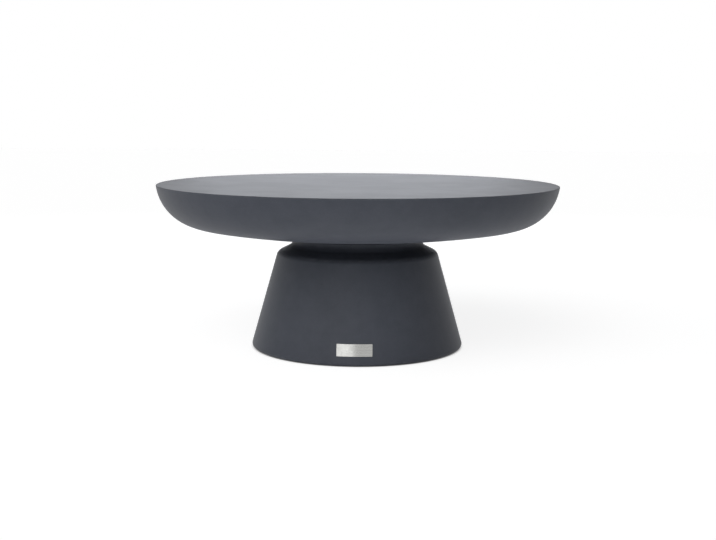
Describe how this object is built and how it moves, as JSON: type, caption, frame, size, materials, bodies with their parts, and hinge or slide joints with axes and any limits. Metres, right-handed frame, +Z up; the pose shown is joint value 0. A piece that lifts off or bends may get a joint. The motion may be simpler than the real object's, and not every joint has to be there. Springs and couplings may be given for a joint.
{
  "type": "coffee table",
  "caption": "Round outdoor coffee table of concrete: a bowl-shaped top bolted from inside onto a hollow coned pedestal on rubber floor pads.",
  "frame": {"origin": "on the floor under the table's centre", "axes": "+Z up through the centre of the top and pedestal; -Y is the front, where the small plate is"},
  "size_m": [1, 1, 0.41],
  "materials": {
    "concrete": "smooth cast, sealed, satin",
    "foam": "matt, beaded",
    "zinc_plated_steel": "bright zinc plating",
    "stainless_steel": "brushed",
    "rubber": "matt",
    "adhesive_foam_tape": "matt"
  },
  "bodies": {
    "root": {"tabletop": "concrete", "foam_core": "foam", "threaded_inserts": "zinc_plated_steel", "seat_gasket": "rubber", "pedestal": "concrete", "spreader_plate": "zinc_plated_steel", "flat_washers": "zinc_plated_steel", "spring_washers": "zinc_plated_steel", "hex_bolts": "zinc_plated_steel", "floor_pads": "rubber", "front_plate": "stainless_steel", "plate_adhesive": "adhesive_foam_tape"}
  },
  "joints": []
}
